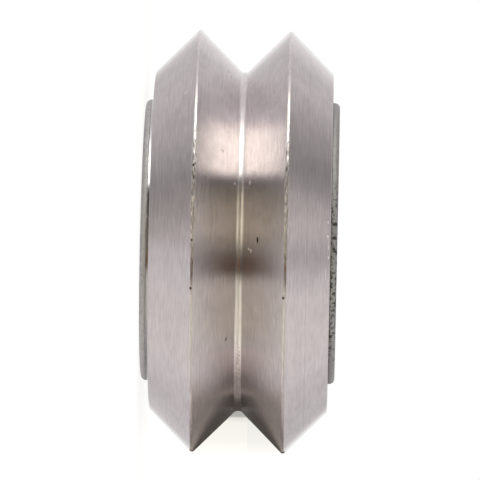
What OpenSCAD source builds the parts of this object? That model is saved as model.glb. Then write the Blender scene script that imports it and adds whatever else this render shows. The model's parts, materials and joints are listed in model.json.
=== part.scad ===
// V-groove wheel: a turned stainless steel rim that runs on two shielded ball bearings,
// with a spacer shim between the bearings' inner rings.
// The wheel stands on its end: its axis is +Z, and the origin is the centre of its lower end.
// All sizes are in millimetres and degrees.

/* [Rim] */
// Diameter over the two crests
wheel_d = 24; // [22:0.1:32]
// Width of the turned rim between its side faces
rim_w = 10.1; // [9:0.05:10.8]
// How far the rim's outside sits off the middle of the stack, towards the upper bearing
rim_offset = 0.07; // [0:0.01:0.1]
// Distance between the two crests, centre to centre
crest_pitch = 5.15; // [5:0.01:6]
// Width of the narrow land on each crest
crest_land = 0.14; // [0.05:0.01:0.3]
// Slope of each outer flank, from the wheel's axis
flank_angle = 45; // [30:1:50]
// Break on the corner between a flank and a side face
corner_break = 0.05; // [0.02:0.01:0.2]
// Chamfer at the mouth of each bearing seat
seat_chamfer = 0.3; // [0.1:0.05:0.5]
// How far the rib between the bearing seats stands in from them
rib_height = 1; // [0.6:0.05:1.3]

/* [V groove] */
// Angle between the groove's two walls
groove_angle = 90; // [80:1:100]
// Width of the flat root, before its fillets
root_w = 0.3; // [0.25:0.01:1]
// Fillet between each wall and the flat root
root_fillet = 0.25; // [0.05:0.01:0.35]

/* [Bearing rings] */
// Outside diameter of each bearing
bearing_od = 16; // [14.5:0.1:17]
// Bore of each bearing
bearing_bore = 5; // [4:0.1:6]
// Width of each bearing
bearing_w = 5; // [4.8:0.1:6]
// Corner radius on the outside of the outer ring
outer_corner_r = 0.3; // [0.1:0.05:0.6]
// Corner radius at each end of the inner ring's bore
bore_corner_r = 0.3; // [0.1:0.05:0.5]
// Break on the corners beside the shields
ring_break = 0.1; // [0.03:0.01:0.2]
// Thickness of each ring at its shoulders
ring_wall = 1.7; // [1.5:0.05:1.9]
// Thickness of the inner ring beside a shield
inner_step_wall = 1.25; // [1:0.05:1.4]
// Raceway radius as a share of the ball's diameter
race_ratio = 0.52; // [0.515:0.005:0.54]
// Play between a ball and the bottom of each raceway
ball_play = 0.04; // [0.03:0.01:0.06]

/* [Balls and cage] */
// Diameter of a ball
ball_d = 2.778; // [2.5:0.001:3]
// Balls in each bearing
ball_count = 7; // [6:1:7]
// Thickness of the cage's pressed sheet
cage_t = 0.25; // [0.15:0.01:0.3]
// Width of the cage's ribbon, from inner to outer edge
cage_band = 1.1; // [0.9:0.05:1.4]
// Play between a ball and its pocket
pocket_play = 0.05; // [0.03:0.01:0.08]
// Diameter of a cage rivet's shank
rivet_d = 0.45; // [0.3:0.05:0.55]
// Diameter of a rivet's head
rivet_head_d = 0.8; // [0.7:0.05:0.9]
// Height of a rivet's head
rivet_head_h = 0.16; // [0.1:0.01:0.25]

/* [Shields] */
// Thickness of the shield's sheet
shield_t = 0.2; // [0.12:0.01:0.25]
// Depth of the shield below the rings' end faces
shield_depth = 0.2; // [0.1:0.01:0.25]
// Drop from the shield's face to its seated flange
shield_step = 0.2; // [0.1:0.01:0.25]
// Thickness of the outer ring at the groove that holds the flange
shield_seat_wall = 1.25; // [1.1:0.05:1.35]
// Thickness of the outer ring at its mouth, above that groove
shield_mouth_wall = 1.4; // [1.35:0.05:1.5]
// Clearance round the shield in that mouth
mouth_clearance = 0.1; // [0.05:0.01:0.15]
// Clearance between the shield and the inner ring
shield_clearance = 0.15; // [0.1:0.01:0.2]

/* [Spacer] */
// Outside diameter of the shim between the inner rings
shim_od = 10; // [8:0.1:12]
// Thickness of the shim, and of the rib around it
shim_t = 1; // [0.8:0.05:1.5]
// Break on the shim's edges
shim_break = 0.1; // [0.03:0.01:0.2]

/* [Hidden] */
$fn = 96;
// Clearance between a seated piece and the bore or groove that holds it
seat_fit = 0.01;
// How far a cutter runs past what it cuts
over = 1;

SIDES = ["lower", "upper"];
ball_numbers = [1 : ball_count];
bearing_pieces = [
    "outer_ring", "inner_ring", "shield_bottom", "shield_top",
    "cage_bottom", "cage_top", "cage_rivets"];
ball_pieces = [for (i = ball_numbers) str("ball_", i)];

// Heights along the axis. Each bearing is drawn about its own middle plane.
half_w = bearing_w / 2;
total_w = 2 * bearing_w + shim_t;
bearing_offset = (shim_t + bearing_w) / 2;
function bearing_z(side) = total_w / 2 + (side == "upper" ? bearing_offset : -bearing_offset);

// Rim and groove
crest_r = wheel_d / 2;
rim_half_w = rim_w / 2;
crest_out = (crest_pitch + crest_land) / 2;
crest_in = (crest_pitch - crest_land) / 2;
corner_r = crest_r - (rim_half_w - crest_out) * tan(flank_angle);
seat_r = bearing_od / 2 + seat_fit;
// The side face keeps a third of its width between its two edge breaks
side_third = (corner_r - seat_r) / 3;
face_break = min(corner_break, side_third);
mouth_chamfer = min(seat_chamfer, side_third);
wall_angle = groove_angle / 2;
root_r = crest_r - (crest_in - root_w / 2) / tan(wall_angle);
// The fillets leave at least a tenth of the root flat
fillet_reach = (1 - sin(wall_angle)) / cos(wall_angle);
fillet_r = min(root_fillet, 0.45 * root_w / fillet_reach);
flat_half = root_w / 2 - fillet_r * fillet_reach;
fillet_top_r = root_r + fillet_r * (1 - sin(wall_angle));
fillet_top_z = flat_half + fillet_r * cos(wall_angle);

// Raceways: circles that clear the ball by ball_play at their deepest point.
// The balls run midway between the bore and the outside of the bearing.
ball_r = ball_d / 2;
pitch_r = (bearing_od + bearing_bore) / 4;
race_r = race_ratio * ball_d;
inner_race_r = pitch_r - ball_r - ball_play + race_r;
outer_race_r = pitch_r + ball_r + ball_play - race_r;
inner_land_r = bearing_bore / 2 + ring_wall;
outer_land_r = bearing_od / 2 - ring_wall;

// Shields: their seats are cut this deep into the rings' end faces
seat_depth = shield_depth + shield_t + shield_step;
shield_seat_r = bearing_od / 2 - shield_seat_wall;
shield_mouth_r = bearing_od / 2 - shield_mouth_wall;
shield_rim_r = shield_mouth_r - mouth_clearance;
inner_step_r = bearing_bore / 2 + inner_step_wall;

// Cage: pockets and rivets take turns round the pitch circle
ball_step = 360 / ball_count;
pocket_r = ball_r + pocket_play;

// A profile's upper half, and its lower half drawn as if it were the upper one
function two_halves(upper, lower) = concat(
    upper,
    [for (i = [len(lower) - 1 : -1 : 0]) [lower[i][0], -lower[i][1]]]);

// A profile's upper half, joined to its mirror image below the middle plane
function both_halves(points) = two_halves(points, points);

// Repeats a child on both sides of the middle plane of a profile
module on_both_sides() {
    children();
    mirror([0, 1]) children();
}

// What a corner radius takes off: the square corner is at [0, 0], the metal lies towards -x and -y
module corner_cutter(radius) {
    difference() {
        translate([-radius, -radius]) square(radius + over);
        translate([-radius, -radius]) circle(radius);
    }
}

// Repeats a child round the pitch circle, once for each ball
module round_the_pitch() {
    for (i = ball_numbers)
        rotate([0, 0, i * ball_step]) translate([pitch_r, 0, 0]) children();
}

// ---- Rim ----

// The V groove: straight walls, and a flat root with a fillet on each side
module groove_cutter() {
    polygon(both_halves([
        [root_r, flat_half],
        [root_r + fillet_r, flat_half],
        [fillet_top_r, fillet_top_z],
        [crest_r + over, crest_in + over * tan(wall_angle)]]));
    on_both_sides()
        translate([root_r + fillet_r, flat_half]) circle(fillet_r);
}

// Half of the rim's profile, from the rib outwards: bearing seat, side face, flank and crest
function rim_half(offset) = [
    [seat_r - rib_height, shim_t / 2],
    [seat_r, shim_t / 2],
    [seat_r, rim_half_w + offset - mouth_chamfer],
    [seat_r + mouth_chamfer, rim_half_w + offset],
    [corner_r - face_break, rim_half_w + offset],
    [corner_r + face_break * tan(flank_angle), rim_half_w + offset - face_break],
    [crest_r, crest_out + offset]];

// One turned piece: two crests, two flanks, two bearing seats and the rib between them
module wheel_rim() {
    color("silver")
        translate([0, 0, total_w / 2])
            rotate_extrude()
                difference() {
                    polygon(two_halves(rim_half(rim_offset), rim_half(-rim_offset)));
                    translate([0, rim_offset]) groove_cutter();
                }
}

// ---- Bearing ----

// Outer ring, with the raceway and an undercut mouth for each shield
module outer_ring() {
    lip_z = half_w - shield_depth - shield_step + seat_fit;
    color("darkgray")
        rotate_extrude()
            difference() {
                polygon(both_halves([
                    [outer_land_r, half_w - seat_depth],
                    [shield_seat_r, half_w - seat_depth],
                    [shield_seat_r, lip_z],
                    [shield_mouth_r, lip_z],
                    [shield_mouth_r, half_w - ring_break],
                    [shield_mouth_r + ring_break, half_w],
                    [bearing_od / 2, half_w]]));
                translate([outer_race_r, 0]) circle(race_r);
                on_both_sides()
                    translate([bearing_od / 2, half_w]) corner_cutter(outer_corner_r);
            }
}

// Inner ring, with the raceway and a step that clears each shield
module inner_ring() {
    color("darkgray")
        rotate_extrude()
            difference() {
                polygon(both_halves([
                    [inner_land_r, half_w - seat_depth],
                    [inner_step_r, half_w - seat_depth],
                    [inner_step_r, half_w - ring_break],
                    [inner_step_r - ring_break, half_w],
                    [bearing_bore / 2, half_w]]));
                translate([inner_race_r, 0]) circle(race_r);
                on_both_sides()
                    translate([bearing_bore / 2, half_w])
                        mirror([1, 0]) corner_cutter(bore_corner_r);
            }
}

// A pressed disc, joggled at its rim to a flange that is held in the outer ring's groove
module shield_top() {
    face_z = half_w - shield_depth;
    flange_z = half_w - seat_depth;
    color("gainsboro")
        rotate_extrude()
            polygon([
                [inner_step_r + shield_clearance, face_z - shield_t],
                [inner_step_r + shield_clearance, face_z],
                [shield_rim_r, face_z],
                [shield_rim_r, flange_z + shield_t],
                [shield_seat_r - seat_fit, flange_z + shield_t],
                [shield_seat_r - seat_fit, flange_z],
                [shield_rim_r - shield_t, flange_z],
                [shield_rim_r - shield_t, face_z - shield_t]]);
}

module shield_bottom() {
    mirror([0, 0, 1]) shield_top();
}

module bearing_ball(number) {
    color("whitesmoke")
        rotate([0, 0, number * ball_step]) translate([pitch_r, 0, 0]) sphere(ball_r);
}

// One half of the ribbon cage: a flat ribbon, pressed into a round pocket over each ball
module cage_top() {
    color("lightsteelblue")
        difference() {
            intersection() {
                union() {
                    cylinder(h = cage_t, r = pitch_r + cage_band);
                    round_the_pitch() sphere(pocket_r + cage_t);
                }
                cylinder(h = half_w, r = pitch_r + cage_band / 2);
            }
            translate([0, 0, -over])
                cylinder(h = half_w + 2 * over, r = pitch_r - cage_band / 2);
            round_the_pitch() sphere(pocket_r);
            rivet_places()
                translate([0, 0, -over]) cylinder(h = cage_t + 2 * over, d = rivet_d + 2 * seat_fit);
        }
}

module cage_bottom() {
    mirror([0, 0, 1]) cage_top();
}

// Halfway between the balls
module rivet_places() {
    rotate([0, 0, ball_step / 2]) round_the_pitch() children();
}

// The rivets that clamp the two halves together
module cage_rivets() {
    color("lightsteelblue")
        rivet_places() {
            cylinder(h = 2 * cage_t, d = rivet_d, center = true);
            for (flip = [0, 1])
                mirror([0, 0, flip])
                    translate([0, 0, cage_t]) cylinder(h = rivet_head_h, d = rivet_head_d);
        }
}

// ---- Spacer ----

// Precision shim that parts the two inner rings
module spacer_shim() {
    color("dimgray")
        translate([0, 0, total_w / 2])
            rotate_extrude()
                polygon(both_halves([
                    [bearing_bore / 2, shim_t / 2 - shim_break],
                    [bearing_bore / 2 + shim_break, shim_t / 2],
                    [shim_od / 2 - shim_break, shim_t / 2],
                    [shim_od / 2, shim_t / 2 - shim_break]]));
}

wheel_rim();
spacer_shim();
for (side = SIDES)
    translate([0, 0, bearing_z(side)]) {
        outer_ring();
        inner_ring();
        shield_bottom();
        shield_top();
        cage_bottom();
        cage_top();
        cage_rivets();
        for (i = ball_numbers)
            bearing_ball(i);
    }
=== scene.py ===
"""The looks of the V-groove wheel: its turned and ground steels, the studio around it, and the camera.

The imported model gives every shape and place, in metres. The wheel stands on its end, and its axis is +Z.
Sizes here are in millimetres, and MM turns them to metres.
"""
import json
import math

import bpy
from mathutils import Matrix, Vector


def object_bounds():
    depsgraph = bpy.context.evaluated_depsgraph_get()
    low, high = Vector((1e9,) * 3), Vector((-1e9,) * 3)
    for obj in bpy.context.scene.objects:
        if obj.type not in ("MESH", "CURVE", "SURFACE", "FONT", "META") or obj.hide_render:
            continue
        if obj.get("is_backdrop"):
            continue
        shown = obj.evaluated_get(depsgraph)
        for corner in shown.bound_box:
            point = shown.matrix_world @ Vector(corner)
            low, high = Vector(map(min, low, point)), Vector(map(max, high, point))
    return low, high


MM = 0.001

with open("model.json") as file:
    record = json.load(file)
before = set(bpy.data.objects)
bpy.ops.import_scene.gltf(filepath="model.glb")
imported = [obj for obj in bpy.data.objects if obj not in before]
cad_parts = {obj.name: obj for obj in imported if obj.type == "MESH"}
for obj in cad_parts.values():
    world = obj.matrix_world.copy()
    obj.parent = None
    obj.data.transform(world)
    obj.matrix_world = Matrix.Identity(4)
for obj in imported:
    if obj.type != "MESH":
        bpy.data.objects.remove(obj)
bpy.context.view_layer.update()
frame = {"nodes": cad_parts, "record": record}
NODES = frame["nodes"]
SCENE = bpy.context.scene

# The wheel's own sizes
MIDDLE = 5.57         # height of the rim's middle plane
CREST_RADIUS = 12.0
CREST_HEIGHT = 2.575  # from the middle plane to the middle of each crest
HALF_STACK = 5.5      # half of the whole width, and so also the height of the middle of the two bearings


# ---- Small helpers ----

def linear(hex_colour):
    """An sRGB hex colour as linear RGBA."""
    parts = [int(hex_colour[i:i + 2], 16) / 255 for i in (1, 3, 5)]
    return [p / 12.92 if p <= 0.04045 else ((p + 0.055) / 1.055) ** 2.4 for p in parts] + [1.0]


def add_node(tree, kind, inputs=None, stops=None, **settings):
    """Adds a node. A socket given as an input is linked, and any other value is set. A colour ramp also
    takes its stops, each a place from 0 to 1 and a linear colour."""
    made = tree.nodes.new(kind)
    for name, value in settings.items():
        setattr(made, name, value)
    if stops:
        elements = made.color_ramp.elements
        while len(elements) > 1:
            elements.remove(elements[0])
        for i, (place, colour) in enumerate(stops):
            stop = elements[0] if i == 0 else elements.new(place)
            stop.position = place
            stop.color = colour
    for name, value in (inputs or {}).items():
        if isinstance(value, bpy.types.NodeSocket):
            tree.links.new(value, made.inputs[name])
        else:
            made.inputs[name].default_value = value
    return made


def new_material(name):
    """A material with nothing in it yet."""
    paint = bpy.data.materials.new(name)
    paint.use_nodes = True
    paint.node_tree.nodes.clear()
    return paint


# ---- Studio ----

# A light tent around the wheel. Each band is a list of stops: the turn about the upright axis in degrees,
# the strength there, where 1 is a white wall, and the tint. 0 degrees is the camera's side, and plus turns
# towards +X. A tall soft box stands at -90 to -46 degrees. The camera makes the dark gap next to it, and a
# brown wall stands past the gap.
NEUTRAL = "#FFFDFC"
KEY = "#FFFFF0"
CREAM = "#FFFDE9"
TAN = "#FFF8DA"
BROWN = "#FFC083"
# What lies level with the wheel's middle
LEVEL_BAND = [
    (-180, 0.80, NEUTRAL), (-150, 1.00, NEUTRAL), (-110, 0.95, NEUTRAL), (-92, 1.50, NEUTRAL),
    (-78, 4.00, KEY), (-49, 4.20, KEY), (-45, 0.40, NEUTRAL), (-41, 0.04, NEUTRAL),
    (-15, 0.12, TAN), (7, 0.24, TAN), (13, 0.26, BROWN), (21.5, 0.19, BROWN), (25.5, 0.70, CREAM),
    (33, 0.78, CREAM), (60, 0.75, CREAM), (80, 0.60, NEUTRAL), (95, 0.52, NEUTRAL), (110, 0.42, NEUTRAL),
    (135, 0.50, NEUTRAL), (180, 0.80, NEUTRAL)]
# What lies above and below that, up to where the tent's ends begin
OUTER_BAND = [
    (-180, 0.60, NEUTRAL), (-150, 0.75, NEUTRAL), (-110, 0.75, NEUTRAL), (-90, 0.75, NEUTRAL),
    (-75, 1.00, NEUTRAL), (-52, 0.80, NEUTRAL), (-43, 0.30, NEUTRAL), (-32, 1.10, TAN),
    (-8, 1.80, TAN), (5, 0.52, TAN), (12, 0.08, NEUTRAL), (23, 0.04, NEUTRAL), (30, 1.15, CREAM),
    (45, 1.10, CREAM), (76, 1.30, CREAM), (105, 1.15, NEUTRAL), (135, 0.75, NEUTRAL), (180, 0.85, NEUTRAL)]
# The tent's end below the wheel and the one above it. Here a stop's place is how far it lies to the side,
# along X from -1 to 1.
LOWER_END = [
    (-1, 0.45, NEUTRAL), (-0.45, 0.47, NEUTRAL), (-0.30, 0.34, NEUTRAL), (-0.18, 0.41, NEUTRAL),
    (-0.05, 0.55, NEUTRAL), (0.08, 0.87, NEUTRAL), (0.20, 0.90, NEUTRAL), (0.35, 0.90, NEUTRAL),
    (1, 0.92, NEUTRAL)]
UPPER_END = [
    (-1, 0.08, NEUTRAL), (-0.48, 0.12, NEUTRAL), (-0.41, 0.20, NEUTRAL), (-0.31, 0.37, NEUTRAL),
    (-0.19, 0.62, NEUTRAL), (-0.06, 0.70, NEUTRAL), (0.08, 0.60, NEUTRAL), (0.20, 0.85, NEUTRAL),
    (0.33, 0.93, NEUTRAL), (1, 0.88, NEUTRAL)]
# The strongest that a stop in the tent can be
FULL = 4.5
# How steep a direction is, from 0 for level to 1 for straight up or down: where one part of the tent
# begins to pass into the next, and where it has passed. The level band is centred a little above level.
BAND_CENTRE = 0.06
LEVEL_TO_OUTER = (0.18, 0.42)
OUTER_TO_END = (0.62, 0.90)
# How far back a direction points, from 0 for sideways to 1 for straight back: where the tent passes into
# the plain white behind the wheel, which the metal shows there as the camera does
TENT_TO_WHITE = (0.94, 0.97)


def spread_stops(stops, full=1.0):
    """A colour ramp's stops, from places on any scale, strengths of up to full, and tints."""
    start = stops[0][0]
    span = stops[-1][0] - start
    spread = []
    for place, strength, tint in stops:
        colour = [strength / full * part for part in linear(tint)[:3]]
        spread.append(((place - start) / span, colour + [1.0]))
    return spread


def light_tent():
    """Lights the wheel and shows in its metal, while the camera sees plain white on every side."""
    world = bpy.data.worlds.new("light_tent")
    world.use_nodes = True
    tree = world.node_tree
    tree.nodes.clear()
    direction = add_node(tree, "ShaderNodeTexCoord").outputs["Generated"]
    x, y, z = add_node(tree, "ShaderNodeSeparateXYZ", {0: direction}).outputs
    front = add_node(tree, "ShaderNodeMath", {0: y, 1: -1.0}, operation="MULTIPLY").outputs[0]
    turn = add_node(tree, "ShaderNodeMath", {0: x, 1: front}, operation="ARCTAN2").outputs[0]
    around = add_node(tree, "ShaderNodeMapRange", {
        "Value": turn, "From Min": -math.pi, "From Max": math.pi}).outputs[0]
    sideways = add_node(tree, "ShaderNodeMapRange", {
        "Value": x, "From Min": -1.0, "From Max": 1.0}).outputs[0]
    level_band = add_node(
        tree, "ShaderNodeValToRGB", {0: around}, stops=spread_stops(LEVEL_BAND, FULL)).outputs[0]
    outer_band = add_node(
        tree, "ShaderNodeValToRGB", {0: around}, stops=spread_stops(OUTER_BAND, FULL)).outputs[0]
    lower_end = add_node(
        tree, "ShaderNodeValToRGB", {0: sideways}, stops=spread_stops(LOWER_END, FULL)).outputs[0]
    upper_end = add_node(
        tree, "ShaderNodeValToRGB", {0: sideways}, stops=spread_stops(UPPER_END, FULL)).outputs[0]
    # From the level band to the outer one, and on to the ends
    rise = add_node(tree, "ShaderNodeMath", {0: z, 1: BAND_CENTRE}, operation="SUBTRACT").outputs[0]
    rise = add_node(tree, "ShaderNodeMath", {0: rise}, operation="ABSOLUTE").outputs[0]
    to_outer = add_node(tree, "ShaderNodeMapRange", {
        "Value": rise, "From Min": LEVEL_TO_OUTER[0], "From Max": LEVEL_TO_OUTER[1]}).outputs[0]
    bands = add_node(tree, "ShaderNodeMix", {
        0: to_outer, 6: level_band, 7: outer_band}, data_type="RGBA").outputs[2]
    above = add_node(tree, "ShaderNodeMath", {0: z, 1: 0.0}, operation="GREATER_THAN").outputs[0]
    ends = add_node(tree, "ShaderNodeMix", {
        0: above, 6: lower_end, 7: upper_end}, data_type="RGBA").outputs[2]
    steep = add_node(tree, "ShaderNodeMath", {0: z}, operation="ABSOLUTE").outputs[0]
    to_end = add_node(tree, "ShaderNodeMapRange", {
        "Value": steep, "From Min": OUTER_TO_END[0], "From Max": OUTER_TO_END[1]}).outputs[0]
    walls = add_node(tree, "ShaderNodeMix", {0: to_end, 6: bands, 7: ends}, data_type="RGBA").outputs[2]
    tent = add_node(tree, "ShaderNodeBackground", {0: walls, 1: FULL})
    # Plain white for the camera, and for the metal straight behind the wheel
    white = add_node(tree, "ShaderNodeBackground", {0: (1, 1, 1, 1), 1: 1.0})
    path = add_node(tree, "ShaderNodeLightPath").outputs
    mirrored = add_node(tree, "ShaderNodeMath", {
        0: path["Is Glossy Ray"], 1: path["Is Transmission Ray"]}, operation="MAXIMUM").outputs[0]
    behind = add_node(tree, "ShaderNodeMapRange", {
        "Value": y, "From Min": TENT_TO_WHITE[0], "From Max": TENT_TO_WHITE[1]}).outputs[0]
    mirrored = add_node(tree, "ShaderNodeMath", {
        0: mirrored, 1: behind}, operation="MULTIPLY").outputs[0]
    shows_white = add_node(tree, "ShaderNodeMath", {
        0: path["Is Camera Ray"], 1: mirrored}, operation="MAXIMUM").outputs[0]
    seen = add_node(tree, "ShaderNodeMixShader", {0: shows_white, 1: tent.outputs[0], 2: white.outputs[0]})
    add_node(tree, "ShaderNodeOutputWorld", {"Surface": seen.outputs[0]})
    SCENE.world = world


# The table is matt card with a glow that brings it up to the white around it, so that only the wheel's
# shadow shows on it
TABLE_HALF = 500.0
TABLE_DROP = 0.01         # below the wheel's lower end
TABLE_CARD = "#8C8A88"
TABLE_GLOW = 0.85


def white_table():
    """The table under the wheel, which the camera sees from above."""
    mesh = bpy.data.meshes.new("white_table")
    half = TABLE_HALF * MM
    corners = [(-half, -half, 0), (half, -half, 0), (half, half, 0), (-half, half, 0)]
    mesh.from_pydata(corners, [], [(0, 1, 2, 3)])
    made = bpy.data.objects.new("white_table", mesh)
    SCENE.collection.objects.link(made)
    made.location.z = -TABLE_DROP * MM
    paint = new_material("white_card")
    tree = paint.node_tree
    for_camera = add_node(tree, "ShaderNodeLightPath").outputs["Is Camera Ray"]
    from_below = add_node(tree, "ShaderNodeNewGeometry").outputs["Backfacing"]
    shown = add_node(tree, "ShaderNodeMath", {
        0: for_camera, 1: from_below}, operation="GREATER_THAN").outputs[0]
    matt = add_node(tree, "ShaderNodeBsdfDiffuse", {0: linear(TABLE_CARD)})
    glow = add_node(tree, "ShaderNodeEmission", {0: (1, 1, 1, 1), 1: TABLE_GLOW})
    lit = add_node(tree, "ShaderNodeAddShader", {0: matt.outputs[0], 1: glow.outputs[0]})
    clear = add_node(tree, "ShaderNodeBsdfTransparent")
    seen = add_node(tree, "ShaderNodeMixShader", {0: shown, 1: clear.outputs[0], 2: lit.outputs[0]})
    add_node(tree, "ShaderNodeOutputMaterial", {"Surface": seen.outputs[0]})
    mesh.materials.append(paint)
    made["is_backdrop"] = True


# A strip beside the crests, which only the metal sees. It glows with painted shade and light, standing for
# the shaded table under the wheel, and so it shades the +X end of the groove. Its stops run along Y, from
# its near edge to its far one.
CARD_TINT = "#FFF3E7"
CARD_CORNERS = [(12.05, -8.5, 2.7), (12.05, 30, 2.7), (12.05, 30, 8.4), (12.05, -8.5, 8.4)]
CARD_STOPS = [
    (-8.5, 0.90, CARD_TINT), (-7, 0.72, CARD_TINT), (-5.6, 0.55, CARD_TINT), (-4.6, 0.37, CARD_TINT),
    (-3.8, 0.29, CARD_TINT), (-2.6, 0.32, CARD_TINT), (-1.6, 0.46, CARD_TINT), (-0.8, 0.14, CARD_TINT),
    (0, 0.09, CARD_TINT), (30, 0.09, CARD_TINT)]
# The shaded table as it shows through the bottom of the groove. Its stops run along X, from the groove's
# root out to the crests.
NOTCH_TINT = "#FFFDF8"
NOTCH_CORNERS = [(9.65, 0, 5.32), (12.0, 0, 3.02), (12.0, 0, 8.12), (9.65, 0, 5.82)]
NOTCH_STOPS = [
    (9.65, 0.40, NOTCH_TINT), (9.95, 0.44, NOTCH_TINT), (10.03, 0.72, NOTCH_TINT), (10.3, 0.86, NOTCH_TINT),
    (11.3, 0.90, NOTCH_TINT), (12.0, 1.00, NOTCH_TINT)]


def shaded_sheet(name, corners, axis, stops, for_camera):
    """A flat sheet shaded along one axis. Either the camera sees through it from in front, and it shades
    what lies behind, or it glows for the metal alone."""
    mesh = bpy.data.meshes.new(name)
    mesh.from_pydata([[MM * part for part in corner] for corner in corners], [], [(0, 1, 2, 3)])
    made = bpy.data.objects.new(name, mesh)
    SCENE.collection.objects.link(made)
    paint = new_material(name)
    tree = paint.node_tree
    object_place = add_node(tree, "ShaderNodeTexCoord").outputs["Object"]
    along = add_node(tree, "ShaderNodeSeparateXYZ", {0: object_place}).outputs[axis]
    along = add_node(tree, "ShaderNodeMapRange", {
        "Value": along, "From Min": stops[0][0] * MM, "From Max": stops[-1][0] * MM}).outputs[0]
    shade = add_node(tree, "ShaderNodeValToRGB", {0: along}, stops=spread_stops(stops)).outputs[0]
    clear = add_node(tree, "ShaderNodeBsdfTransparent")
    seen = add_node(tree, "ShaderNodeLightPath").outputs["Is Camera Ray"]
    if for_camera:
        veil = add_node(tree, "ShaderNodeBsdfTransparent", {0: shade})
        from_behind = add_node(tree, "ShaderNodeNewGeometry").outputs["Backfacing"]
        seen = add_node(tree, "ShaderNodeMath", {
            0: seen, 1: from_behind}, operation="GREATER_THAN").outputs[0]
        shown = add_node(tree, "ShaderNodeMixShader", {0: seen, 1: clear.outputs[0], 2: veil.outputs[0]})
    else:
        glow = add_node(tree, "ShaderNodeEmission", {0: shade, 1: 1.0})
        shown = add_node(tree, "ShaderNodeMixShader", {0: seen, 1: glow.outputs[0], 2: clear.outputs[0]})
    add_node(tree, "ShaderNodeOutputMaterial", {"Surface": shown.outputs[0]})
    mesh.materials.append(paint)
    made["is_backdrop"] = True


# The camera looks square at the wheel's side from in front, and it's turned so that the wheel's axis lies
# level in view
CAMERA_DISTANCE = 350.0
CAMERA_ABOVE_MIDDLE = 4.9      # along the wheel's axis
AIM_OFFSET = (-0.10, 0, -0.034)
CAMERA_LEAN = 1.2              # degrees
LENS = 461
SENSOR_WIDTH = 36
NEAREST_SEEN = 10.0


def camera():
    """The camera in front of the wheel."""
    low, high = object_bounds()
    centre = (low + high) / 2
    eye = Vector((0, -CAMERA_DISTANCE * MM, centre.z + CAMERA_ABOVE_MIDDLE * MM))
    aim = centre + Vector(AIM_OFFSET) * MM
    data = bpy.data.cameras.new("camera")
    data.sensor_width = SENSOR_WIDTH
    data.lens = LENS
    data.clip_start = NEAREST_SEEN * MM
    made = bpy.data.objects.new("camera", data)
    SCENE.collection.objects.link(made)
    forward = (aim - eye).normalized()
    along_axis = Vector((0, 0, 1))
    right = (along_axis - forward * along_axis.dot(forward)).normalized()
    up = right.cross(forward)
    lean = math.radians(CAMERA_LEAN)
    leaning_right = right * math.cos(lean) + up * math.sin(lean)
    leaning_up = up * math.cos(lean) - right * math.sin(lean)
    turn = Matrix((leaning_right, leaning_up, -forward)).transposed()
    made.matrix_world = Matrix.Translation(eye) @ turn.to_4x4()
    SCENE.camera = made


# ---- Finishes ----

# Patterns are laid out in millimetres on the part: how far out from the axis, how high along it, and how
# far round it. The seam, where the way round starts again, is at the back.
def places_on_wheel(tree):
    """The distance from the axis, the height and the way round, in millimetres, and the place itself."""
    object_place = add_node(tree, "ShaderNodeTexCoord").outputs["Object"]
    place = add_node(tree, "ShaderNodeVectorMath", {
        0: object_place, "Scale": 1 / MM}, operation="SCALE").outputs[0]
    x, y, height = add_node(tree, "ShaderNodeSeparateXYZ", {0: place}).outputs
    flat = add_node(tree, "ShaderNodeCombineXYZ", {0: x, 1: y}).outputs[0]
    radius = add_node(tree, "ShaderNodeVectorMath", {0: flat}, operation="LENGTH").outputs["Value"]
    front = add_node(tree, "ShaderNodeMath", {0: y, 1: -1.0}, operation="MULTIPLY").outputs[0]
    turn = add_node(tree, "ShaderNodeMath", {0: x, 1: front}, operation="ARCTAN2").outputs[0]
    way_round = add_node(tree, "ShaderNodeMath", {0: turn, 1: radius}, operation="MULTIPLY").outputs[0]
    return radius, height, way_round, place


def streaks_round_axis(tree, radius, height, way_round, spacing, length):
    """Streaks of 0 to 1 that run round the axis: how far apart they lie, and how long they are."""
    across = add_node(tree, "ShaderNodeCombineXYZ", {0: radius, 1: height}).outputs[0]
    across = add_node(tree, "ShaderNodeVectorMath", {
        0: across, "Scale": 1 / spacing}, operation="SCALE").outputs[0]
    along = add_node(tree, "ShaderNodeMath", {0: way_round, 1: 1 / length}, operation="MULTIPLY").outputs[0]
    along = add_node(tree, "ShaderNodeCombineXYZ", {2: along}).outputs[0]
    streak_place = add_node(tree, "ShaderNodeVectorMath", {
        0: across, 1: along}, operation="ADD").outputs[0]
    return add_node(tree, "ShaderNodeTexNoise", {
        "Vector": streak_place, "Scale": 1.0, "Detail": 2.0, "Roughness": 0.6}).outputs[0]


# A spot fades out between these shares of its half width
SPOT_FADE = (0.7, 1.25)
# Nearly all of a pattern's values lie in this range
PATTERN_RANGE = (0.3, 0.7)


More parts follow.
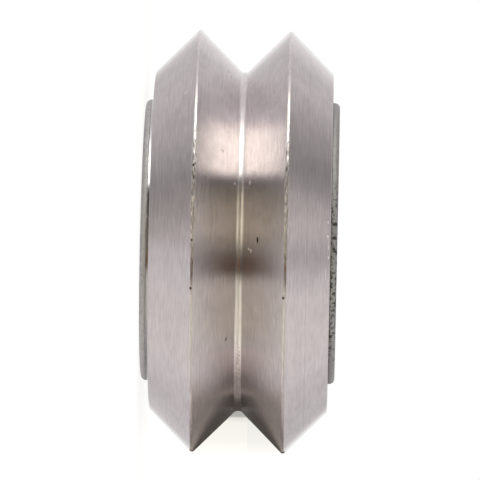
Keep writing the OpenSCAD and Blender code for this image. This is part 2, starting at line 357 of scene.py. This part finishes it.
def spots(tree, place, marks):
    """Small marks, 1 inside and 0 outside. Each has a centre, a half width, a stretch and the way that it's
    stretched in."""
    found = None
    for centre, half_width, stretch, way in marks:
        offset = add_node(tree, "ShaderNodeVectorMath", {
            0: place, 1: centre}, operation="SUBTRACT").outputs[0]
        along = add_node(tree, "ShaderNodeVectorMath", {
            0: offset, 1: way}, operation="DOT_PRODUCT").outputs["Value"]
        along = add_node(tree, "ShaderNodeMath", {
            0: along, 1: 1 - 1 / stretch}, operation="MULTIPLY").outputs[0]
        along = add_node(tree, "ShaderNodeVectorMath", {
            0: way, "Scale": along}, operation="SCALE").outputs[0]
        offset = add_node(tree, "ShaderNodeVectorMath", {
            0: offset, 1: along}, operation="SUBTRACT").outputs[0]
        away = add_node(tree, "ShaderNodeVectorMath", {0: offset}, operation="LENGTH").outputs["Value"]
        spot = add_node(tree, "ShaderNodeMapRange", {
            "Value": away, "From Min": SPOT_FADE[0] * half_width, "From Max": SPOT_FADE[1] * half_width,
            "To Min": 1.0, "To Max": 0.0}).outputs[0]
        if found:
            spot = add_node(tree, "ShaderNodeMath", {0: found, 1: spot}, operation="MAXIMUM").outputs[0]
        found = spot
    return found


# Turned stainless steel, cut on a lathe: a soft grey metal whose fine circular tool lines blur what it
# mirrors across the lines and keep it sharp along them. The knife-sharp crests are nicked from handling.
STAINLESS = "#CFC7C9"
DARKEST = 0.05            # no mark is darker than this share of the colour
FEED_SPACING = 0.14       # real feed lines are about 0.05 mm apart: drawn wider, so that they show
FEED_LENGTH = 9.0
STREAK_SPACING = 0.08     # the short scratches between the feed lines, drawn wider than real ones too
STREAK_LENGTH = 0.85
STREAK_SHARE = 0.75       # how much the short scratches count for beside the feed lines
LINE_DEPTH = 0.0028
CLOUD_SIZE = 0.9          # slow, soft changes over the cut metal
CLOUD_SHARE = 0.3
TURNED_RANGE = (0.35, 0.65)           # nearly all of the mixed pattern's values lie in this range
TURNED_SHADES = (0.86, 1.08)
# One deeper tool line on the upper flank: its radius, where it fades out to each side, and its shade
DEEP_LINE_RADIUS = 10.89
DEEP_LINE_FADE = (0.01, 0.035)
DEEP_LINE_SHADE = 0.08
UPPER_FLANK_FROM = 2.7    # above the middle plane
# Nicks on the crests. They lie close together round one place, out to its first reach, and past its second
# reach they are sparse.
NICK_WIDTH = 0.10
NICK_LENGTH = 0.55
NICK_DEPTH = 0.03
NICK_SHADE = 0.50
NICK_CUT = (0.48, 0.58)               # the streaks' values where a nick begins and where it's full
CREST_EDGE = (0.06, 0.02)             # how far in from the crests nicks begin and where they are full
NICKED_PLACE = (-3.1, -11.6, 5.6)
NICKED_REACH = (2.5, 5.0)
NICKED_ELSEWHERE = 0.12
# The lower edge of each crest is worn round, and catches the light: from the crest's middle, and its depth
WORN_EDGE = (-0.07, -0.03)
WORN_DEPTH = 0.013
# The groove's root was left a little rough. Its grain is drawn on the +X side, where painted light also
# makes the root's colour brighter.
ROOT_RADIUS = 9.70                    # the root lies inside this
ROOT_FADE = 0.04
GROOVE_HALF = 1.0                     # to each side of the middle plane
ROUGH_ROOT_FROM = (2.0, 6.5)          # along X, where the grain begins and where it's full
ROOT_GRAIN = 0.10
ROOT_GRAIN_DEPTH = 0.02
ROOT_GRAIN_CUT = (0.45, 0.65)         # the grain's values where it begins to darken and where it's darkest
ROOT_GRAIN_SHADE = 0.5
# Painted light: how much the root's colour is brightened on the +X side
ROOT_PAINTED_LIGHT = 0.32
# Pits are dark and sunk, and scuffs are raised, with a painted glint that makes them bright. Both lie
# round the axis but for a few scratches.
MARK_DEPTH = 0.02
# Painted glint: how much brighter a scuff's colour is made
PAINTED_GLINT_GAIN = 0.6
AROUND = (1.0, 0.0, 0.0)
PITS = [
    ((-0.10, -10.49, 6.57), 0.07, 2.4, AROUND), ((5.42, -8.57, 4.92), 0.07, 1.3, AROUND),
    ((-5.01, -9.24, 4.55), 0.04, 1.5, AROUND), ((-9.54, -4.02, 4.70), 0.05, 1.5, AROUND),
    ((-9.26, -4.23, 4.88), 0.05, 1.5, AROUND), ((-9.09, -4.18, 5.06), 0.045, 1.5, AROUND),
    ((2.61, -11.70, 2.96), 0.065, 1.2, AROUND), ((3.05, -11.59, 8.06), 0.08, 1.0, AROUND),
    ((-4.17, -11.24, 2.97), 0.06, 1.5, AROUND), ((-0.04, -11.99, 2.97), 0.05, 1.5, AROUND)]
SCUFFS_AND_GLINTS = [
    ((0.38, -10.00, 6.08), 0.045, 1.5, AROUND), ((0.50, -10.12, 6.20), 0.045, 2.0, AROUND),
    ((-3.26, -9.45, 6.07), 0.045, 2.0, AROUND), ((-3.19, -9.27, 5.26), 0.04, 1.5, AROUND),
    ((-8.27, -8.02, 2.44), 0.02, 14.0, (-0.57, -0.42, 0.71)),
    ((-1.18, -9.63, 10.44), 0.07, 2.0, AROUND), ((-0.41, -9.70, 10.44), 0.08, 1.5, AROUND),
    ((0.20, -9.67, 10.47), 0.06, 2.5, AROUND), ((0.76, -9.62, 10.49), 0.07, 1.5, AROUND),
    ((1.71, -9.68, 10.38), 0.02, 20.0, (0.985, 0.174, 0)),
    ((3.04, -9.35, 10.38), 0.02, 20.0, (0.95, 0.31, 0))]


def deep_tool_line(tree, radius, side):
    """How much darker the one deeper tool line is."""
    away = add_node(tree, "ShaderNodeMath", {
        0: radius, 1: DEEP_LINE_RADIUS}, operation="SUBTRACT").outputs[0]
    away = add_node(tree, "ShaderNodeMath", {0: away}, operation="ABSOLUTE").outputs[0]
    line = add_node(tree, "ShaderNodeMapRange", {
        "Value": away, "From Min": DEEP_LINE_FADE[0], "From Max": DEEP_LINE_FADE[1],
        "To Min": DEEP_LINE_SHADE, "To Max": 0.0}).outputs[0]
    on_upper_flank = add_node(tree, "ShaderNodeMath", {
        0: side, 1: UPPER_FLANK_FROM}, operation="GREATER_THAN").outputs[0]
    return add_node(tree, "ShaderNodeMath", {0: line, 1: on_upper_flank}, operation="MULTIPLY").outputs[0]


def crest_nicks(tree, radius, height, way_round, place):
    """Nicks of 0 to 1 along the crests."""
    on_crest = add_node(tree, "ShaderNodeMapRange", {
        "Value": radius, "From Min": CREST_RADIUS - CREST_EDGE[0],
        "From Max": CREST_RADIUS - CREST_EDGE[1]}).outputs[0]
    away = add_node(tree, "ShaderNodeVectorMath", {
        0: place, 1: NICKED_PLACE}, operation="DISTANCE").outputs["Value"]
    often = add_node(tree, "ShaderNodeMapRange", {
        "Value": away, "From Min": NICKED_REACH[0], "From Max": NICKED_REACH[1],
        "To Min": 1.0, "To Max": NICKED_ELSEWHERE}).outputs[0]
    often = add_node(tree, "ShaderNodeMath", {0: on_crest, 1: often}, operation="MULTIPLY").outputs[0]
    nicks = streaks_round_axis(tree, radius, height, way_round, NICK_WIDTH, NICK_LENGTH)
    nicks = add_node(tree, "ShaderNodeMapRange", {
        "Value": nicks, "From Min": NICK_CUT[0], "From Max": NICK_CUT[1]}).outputs[0]
    return add_node(tree, "ShaderNodeMath", {0: nicks, 1: often}, operation="MULTIPLY").outputs[0]


def worn_crest_edges(tree, side):
    """How deep the crests' lower edges are worn, in millimetres below the crest."""
    which = add_node(tree, "ShaderNodeMath", {0: side}, operation="SIGN").outputs[0]
    from_crest = add_node(tree, "ShaderNodeMath", {
        0: which, 1: -CREST_HEIGHT, 2: side}, operation="MULTIPLY_ADD").outputs[0]
    return add_node(tree, "ShaderNodeMapRange", {
        "Value": from_crest, "From Min": WORN_EDGE[0], "From Max": WORN_EDGE[1],
        "To Min": -WORN_DEPTH, "To Max": 0.0}).outputs[0]


def rough_root(tree, radius, side, place):
    """Where the groove's root is rough, from 0 to 1, and the grain there."""
    inside = add_node(tree, "ShaderNodeMapRange", {
        "Value": radius, "From Min": ROOT_RADIUS, "From Max": ROOT_RADIUS - ROOT_FADE}).outputs[0]
    from_middle = add_node(tree, "ShaderNodeMath", {0: side}, operation="ABSOLUTE").outputs[0]
    in_groove = add_node(tree, "ShaderNodeMath", {
        0: from_middle, 1: GROOVE_HALF}, operation="LESS_THAN").outputs[0]
    inside = add_node(tree, "ShaderNodeMath", {0: inside, 1: in_groove}, operation="MULTIPLY").outputs[0]
    x = add_node(tree, "ShaderNodeSeparateXYZ", {0: place}).outputs[0]
    rough_side = add_node(tree, "ShaderNodeMapRange", {
        "Value": x, "From Min": ROUGH_ROOT_FROM[0], "From Max": ROUGH_ROOT_FROM[1]}).outputs[0]
    rough = add_node(tree, "ShaderNodeMath", {0: inside, 1: rough_side}, operation="MULTIPLY").outputs[0]
    grain = add_node(tree, "ShaderNodeTexNoise", {
        "Vector": place, "Scale": 1 / ROOT_GRAIN, "Detail": 2.0, "Roughness": 0.7}).outputs[0]
    grain = add_node(tree, "ShaderNodeMath", {0: grain, 1: rough}, operation="MULTIPLY").outputs[0]
    return rough, grain


def turned_stainless():
    """The rim's finish: one colour, which lines and marks darken or brighten, over their relief."""
    paint = new_material("turned_stainless")
    tree = paint.node_tree
    radius, height, way_round, place = places_on_wheel(tree)
    side = add_node(tree, "ShaderNodeMath", {0: height, 1: MIDDLE}, operation="SUBTRACT").outputs[0]
    feed_lines = streaks_round_axis(tree, radius, height, way_round, FEED_SPACING, FEED_LENGTH)
    short_streaks = streaks_round_axis(tree, radius, height, way_round, STREAK_SPACING, STREAK_LENGTH)
    lines = add_node(tree, "ShaderNodeMix", {
        0: STREAK_SHARE, 2: feed_lines, 3: short_streaks}).outputs[0]
    clouds = add_node(tree, "ShaderNodeTexNoise", {
        "Vector": place, "Scale": 1 / CLOUD_SIZE, "Detail": 2.0}).outputs[0]
    shade = add_node(tree, "ShaderNodeMix", {0: CLOUD_SHARE, 2: lines, 3: clouds}).outputs[0]
    shade = add_node(tree, "ShaderNodeMapRange", {
        "Value": shade, "From Min": TURNED_RANGE[0], "From Max": TURNED_RANGE[1],
        "To Min": TURNED_SHADES[0], "To Max": TURNED_SHADES[1]}).outputs[0]
    # What darkens it
    deep_line = deep_tool_line(tree, radius, side)
    nicks = crest_nicks(tree, radius, height, way_round, place)
    dark_nicks = add_node(tree, "ShaderNodeMath", {
        0: nicks, 1: NICK_SHADE}, operation="MULTIPLY").outputs[0]
    rough, grain = rough_root(tree, radius, side, place)
    dark_grain = add_node(tree, "ShaderNodeMapRange", {
        "Value": grain, "From Min": ROOT_GRAIN_CUT[0], "From Max": ROOT_GRAIN_CUT[1],
        "To Min": 0.0, "To Max": ROOT_GRAIN_SHADE}).outputs[0]
    pits = spots(tree, place, PITS)
    lost = add_node(tree, "ShaderNodeMath", {0: dark_nicks, 1: dark_grain}, operation="MAXIMUM").outputs[0]
    lost = add_node(tree, "ShaderNodeMath", {0: lost, 1: deep_line}, operation="MAXIMUM").outputs[0]
    lost = add_node(tree, "ShaderNodeMath", {0: lost, 1: pits}, operation="MAXIMUM").outputs[0]
    shade = add_node(tree, "ShaderNodeMath", {0: shade, 1: lost}, operation="SUBTRACT").outputs[0]
    shade = add_node(tree, "ShaderNodeMath", {0: shade, 1: DARKEST}, operation="MAXIMUM").outputs[0]
    # What brightens it: the scuffs' painted glints, and painted light on the root
    scuffs_and_glints = spots(tree, place, SCUFFS_AND_GLINTS)
    painted_glints = add_node(tree, "ShaderNodeMath", {0: scuffs_and_glints, 1: PAINTED_GLINT_GAIN}, operation="MULTIPLY").outputs[0]
    # Painted light on the root's +X side
    painted_root_light = add_node(tree, "ShaderNodeMath", {0: rough, 1: ROOT_PAINTED_LIGHT}, operation="MULTIPLY").outputs[0]
    shade = add_node(tree, "ShaderNodeMath", {0: shade, 1: painted_glints}, operation="ADD").outputs[0]
    shade = add_node(tree, "ShaderNodeMath", {0: shade, 1: painted_root_light}, operation="ADD").outputs[0]
    colour = add_node(tree, "ShaderNodeVectorMath", {
        0: linear(STAINLESS)[:3], "Scale": shade}, operation="SCALE").outputs[0]
    # Relief: fine lines, then the root's grain, then worn edges, then nicks, then marks
    relief = add_node(tree, "ShaderNodeBump", {
        "Height": lines, "Strength": 1.0, "Distance": LINE_DEPTH * MM}).outputs[0]
    relief = add_node(tree, "ShaderNodeBump", {
        "Height": grain, "Strength": 1.0, "Distance": ROOT_GRAIN_DEPTH * MM, "Normal": relief}).outputs[0]
    relief = add_node(tree, "ShaderNodeBump", {
        "Height": worn_crest_edges(tree, side), "Strength": 1.0, "Distance": MM,
        "Normal": relief}).outputs[0]
    relief = add_node(tree, "ShaderNodeBump", {
        "Height": nicks, "Strength": 1.0, "Distance": -NICK_DEPTH * MM, "Normal": relief}).outputs[0]
    marks = add_node(tree, "ShaderNodeMath", {0: scuffs_and_glints, 1: pits}, operation="SUBTRACT").outputs[0]
    relief = add_node(tree, "ShaderNodeBump", {
        "Height": marks, "Strength": 1.0, "Distance": MARK_DEPTH * MM, "Normal": relief}).outputs[0]
    round_axis = add_node(tree, "ShaderNodeTangent", direction_type="RADIAL", axis="Z").outputs[0]
    metal = add_node(tree, "ShaderNodeBsdfPrincipled", {
        "Base Color": colour, "Metallic": 1.0, "Roughness": 0.25, "Anisotropic": 0.95,
        "Anisotropic Rotation": 0.25, "Normal": relief, "Tangent": round_axis})
    add_node(tree, "ShaderNodeOutputMaterial", {"Surface": metal.outputs[0]})
    return paint


# Hardened bearing steel: the outside and the end faces are ground to a dull mirror, and the rounded corners
# between them are left rough and grey by tumbling. The upper ring's corner is also chipped and speckled.
RING_STEEL = "#B6B4B7"
GRIND_SPACING = 0.06      # real grinding marks are under 0.02 mm apart: drawn wider, so that they show
GRIND_LENGTH = 1.2
GRIND_DEPTH = 0.0006
GROUND_SHADES = (0.93, 1.05)
SPECK_SIZE = 0.2          # dents from tumbling against other rings
SPECK_DEPTH = 0.03
CORNER_START = 7.67       # the end face's outer edge
CORNER_FADE = 0.05
CORNER_EDGE = (0.07, 0.03)            # how far short of its width the corner fades in, along the axis
CORNER_UNEVEN = 0.10
KNOCKED_PLACE = (2.2, -7.4, 10.9)
KNOCKED_REACH = (3.8, 5.8)
CHIP_CUT = (0.50, 0.58)               # the specks' values where a chip begins and where it's full
CHIPS_ELSEWHERE = 0.15
# Painted shade: the thin dark line where the corner meets the end face
EDGE_LINE_FADE = (0.02, 0.08)         # the thin dark line where the corner meets the end face
EDGE_LINE_SHADE = 0.45
GROUND_ROUGHNESS = 0.16
TUMBLED_ROUGHNESS = 0.62
RING_NICK_DEPTH = 0.04
RING_NICKS = [
    ((1.86, -7.70, 0.10), 0.09, 1.2, AROUND), ((2.47, -7.55, 0.13), 0.06, 1.5, AROUND),
    ((2.30, -7.62, 0.20), 0.04, 2.0, AROUND), ((-2.80, -7.49, 0.36), 0.05, 3.0, AROUND),
    ((4.10, -6.80, 0.12), 0.05, 2.0, AROUND), ((-1.20, -7.90, 0.42), 0.03, 3.0, AROUND)]


def tumbled_corner(tree, radius, height, specks, corner_width):
    """Where the ring's rounded corner is, from 0 to 1, with an uneven edge."""
    from_middle = add_node(tree, "ShaderNodeMath", {
        0: height, 1: HALF_STACK}, operation="SUBTRACT").outputs[0]
    from_middle = add_node(tree, "ShaderNodeMath", {0: from_middle}, operation="ABSOLUTE").outputs[0]
    uneven = add_node(tree, "ShaderNodeMath", {
        0: specks, 1: -CORNER_UNEVEN, 2: from_middle}, operation="MULTIPLY_ADD").outputs[0]
    near_end = add_node(tree, "ShaderNodeMapRange", {
        "Value": uneven, "From Min": HALF_STACK - corner_width - CORNER_EDGE[0],
        "From Max": HALF_STACK - corner_width - CORNER_EDGE[1]}).outputs[0]
    near_outside = add_node(tree, "ShaderNodeMapRange", {
        "Value": radius, "From Min": CORNER_START, "From Max": CORNER_START + CORNER_FADE}).outputs[0]
    return add_node(tree, "ShaderNodeMath", {0: near_end, 1: near_outside}, operation="MULTIPLY").outputs[0]


def ground_bearing_steel(name, corner_width, chips, brightness):
    """The outer rings' finish: how wide the tumbled corner is, how thick its chips are where the ring has
    been knocked, and how bright the steel is."""
    paint = new_material(name)
    tree = paint.node_tree
    radius, height, way_round, place = places_on_wheel(tree)
    streaks = streaks_round_axis(tree, radius, height, way_round, GRIND_SPACING, GRIND_LENGTH)
    specks = add_node(tree, "ShaderNodeTexNoise", {
        "Vector": place, "Scale": 1 / SPECK_SIZE, "Detail": 3.0, "Roughness": 0.7}).outputs[0]
    tumbled = tumbled_corner(tree, radius, height, specks, corner_width)
    # Chips in the corner
    away = add_node(tree, "ShaderNodeVectorMath", {
        0: place, 1: KNOCKED_PLACE}, operation="DISTANCE").outputs["Value"]
    often = add_node(tree, "ShaderNodeMapRange", {
        "Value": away, "From Min": KNOCKED_REACH[0], "From Max": KNOCKED_REACH[1],
        "To Min": chips, "To Max": CHIPS_ELSEWHERE}).outputs[0]
    chipped = add_node(tree, "ShaderNodeMapRange", {
        "Value": specks, "From Min": CHIP_CUT[0], "From Max": CHIP_CUT[1]}).outputs[0]
    chipped = add_node(tree, "ShaderNodeMath", {0: chipped, 1: often}, operation="MULTIPLY").outputs[0]
    chipped = add_node(tree, "ShaderNodeMath", {0: chipped, 1: tumbled}, operation="MULTIPLY").outputs[0]
    shade = add_node(tree, "ShaderNodeMapRange", {
        "Value": streaks, "From Min": PATTERN_RANGE[0], "From Max": PATTERN_RANGE[1],
        "To Min": GROUND_SHADES[0] * brightness, "To Max": GROUND_SHADES[1] * brightness}).outputs[0]
    shade = add_node(tree, "ShaderNodeMath", {0: shade, 1: chipped}, operation="SUBTRACT").outputs[0]
    # A thin line of painted shade at the corner's edge
    to_edge = add_node(tree, "ShaderNodeMath", {
        0: radius, 1: CORNER_START + CORNER_FADE}, operation="SUBTRACT").outputs[0]
    to_edge = add_node(tree, "ShaderNodeMath", {0: to_edge}, operation="ABSOLUTE").outputs[0]
    painted_edge_shade = add_node(tree, "ShaderNodeMapRange", {
        "Value": to_edge, "From Min": EDGE_LINE_FADE[0], "From Max": EDGE_LINE_FADE[1],
        "To Min": EDGE_LINE_SHADE, "To Max": 0.0}).outputs[0]
    shade = add_node(tree, "ShaderNodeMath", {0: shade, 1: painted_edge_shade}, operation="SUBTRACT").outputs[0]
    shade = add_node(tree, "ShaderNodeMath", {0: shade, 1: DARKEST}, operation="MAXIMUM").outputs[0]
    colour = add_node(tree, "ShaderNodeVectorMath", {
        0: linear(RING_STEEL)[:3], "Scale": shade}, operation="SCALE").outputs[0]
    roughness = add_node(tree, "ShaderNodeMapRange", {
        "Value": tumbled, "To Min": GROUND_ROUGHNESS, "To Max": TUMBLED_ROUGHNESS}).outputs[0]
    # Relief: grinding marks, then dents in the corner, then nicks
    relief = add_node(tree, "ShaderNodeBump", {
        "Height": streaks, "Strength": 1.0, "Distance": GRIND_DEPTH * MM}).outputs[0]
    dents = add_node(tree, "ShaderNodeMath", {0: specks, 1: tumbled}, operation="MULTIPLY").outputs[0]
    relief = add_node(tree, "ShaderNodeBump", {
        "Height": dents, "Strength": 1.0, "Distance": SPECK_DEPTH * MM, "Normal": relief}).outputs[0]
    relief = add_node(tree, "ShaderNodeBump", {
        "Height": spots(tree, place, RING_NICKS), "Strength": 1.0, "Distance": -RING_NICK_DEPTH * MM,
        "Normal": relief}).outputs[0]
    metal = add_node(tree, "ShaderNodeBsdfPrincipled", {
        "Base Color": colour, "Metallic": 1.0, "Roughness": roughness, "Normal": relief})
    add_node(tree, "ShaderNodeOutputMaterial", {"Surface": metal.outputs[0]})
    return paint


# The steels inside share a faint change of shade
INSIDE_SHADES = (0.90, 1.05)


def bearing_steel(name, colour, roughness, spacing, length, depth, blotch):
    """Steel for the pieces inside: streaks round the axis and soft blotches, half of each. Roughness is
    given where it's shiniest and where it's dullest, and blotch is a blotch's size."""
    paint = new_material(name)
    tree = paint.node_tree
    radius, height, way_round, place = places_on_wheel(tree)
    streaks = streaks_round_axis(tree, radius, height, way_round, spacing, length)
    blotches = add_node(tree, "ShaderNodeTexNoise", {
        "Vector": place, "Scale": 1 / blotch, "Detail": 3.0, "Roughness": 0.6}).outputs[0]
    mixed = add_node(tree, "ShaderNodeMix", {0: 0.5, 2: streaks, 3: blotches}).outputs[0]
    shade = add_node(tree, "ShaderNodeMapRange", {
        "Value": mixed, "From Min": PATTERN_RANGE[0], "From Max": PATTERN_RANGE[1],
        "To Min": INSIDE_SHADES[0], "To Max": INSIDE_SHADES[1]}).outputs[0]
    base = add_node(tree, "ShaderNodeVectorMath", {
        0: linear(colour)[:3], "Scale": shade}, operation="SCALE").outputs[0]
    dulled = add_node(tree, "ShaderNodeMapRange", {
        "Value": blotches, "From Min": PATTERN_RANGE[0], "From Max": PATTERN_RANGE[1],
        "To Min": roughness[0], "To Max": roughness[1]}).outputs[0]
    relief = add_node(tree, "ShaderNodeBump", {
        "Height": mixed, "Strength": 1.0, "Distance": depth * MM}).outputs[0]
    metal = add_node(tree, "ShaderNodeBsdfPrincipled", {
        "Base Color": base, "Metallic": 1.0, "Roughness": dulled, "Normal": relief})
    add_node(tree, "ShaderNodeOutputMaterial", {"Surface": metal.outputs[0]})
    return paint


# ---- The wheel in its studio ----

light_tent()
white_table()
shaded_sheet("painted_table_shade", CARD_CORNERS, 1, CARD_STOPS, for_camera=False)
shaded_sheet("shaded_table", NOTCH_CORNERS, 0, NOTCH_STOPS, for_camera=True)
camera()
FINISHES = {
    "rim_stainless": turned_stainless(),
    "ring_steel": ground_bearing_steel(
        "ground_bearing_steel", corner_width=0.34, chips=0.25, brightness=1.08),
    # Cold rolled sheet, pressed: a soft even sheen with slow dull patches, and faint rings from the press
    "shield_steel": bearing_steel(
        "pressed_sheet_steel", "#C6C4C2", roughness=(0.24, 0.36), spacing=0.25, length=8.0, depth=0.003,
        blotch=1.6),
    # Ribbon pressed to shape and tumbled: duller and greyer, with an uneven, lightly pitted face
    "cage_steel": bearing_steel(
        "tumbled_ribbon_steel", "#B4B0AC", roughness=(0.36, 0.50), spacing=0.30, length=0.5, depth=0.006,
        blotch=0.5),
    # Lapped balls: nearly a mirror, with only the faintest haze
    "ball_steel": bearing_steel(
        "lapped_ball_steel", "#DAD8D6", roughness=(0.05, 0.09), spacing=0.20, length=0.4, depth=0.0003,
        blotch=0.8),
    # A ground washer: fine close rings that draw the light out into a soft streak
    "shim_steel": bearing_steel(
        "ground_shim_steel", "#B8B5B1", roughness=(0.24, 0.32), spacing=0.08, length=6.0, depth=0.0015,
        blotch=1.2),
}
# The upper ring is the same steel, set darker overall, with thicker chips and a wider corner
CHIPPED_RING = ground_bearing_steel("chipped_bearing_steel", corner_width=0.37, chips=0.70, brightness=0.85)
SLOTS = {part["node"]: part["material_slot"] for part in frame["record"]["subparts"]}
for name, piece in NODES.items():
    finish = CHIPPED_RING if name == "upper_outer_ring" else FINISHES[SLOTS[name]]
    piece.data.materials.clear()
    piece.data.materials.append(finish)

SCENE.view_settings.view_transform = "Standard"
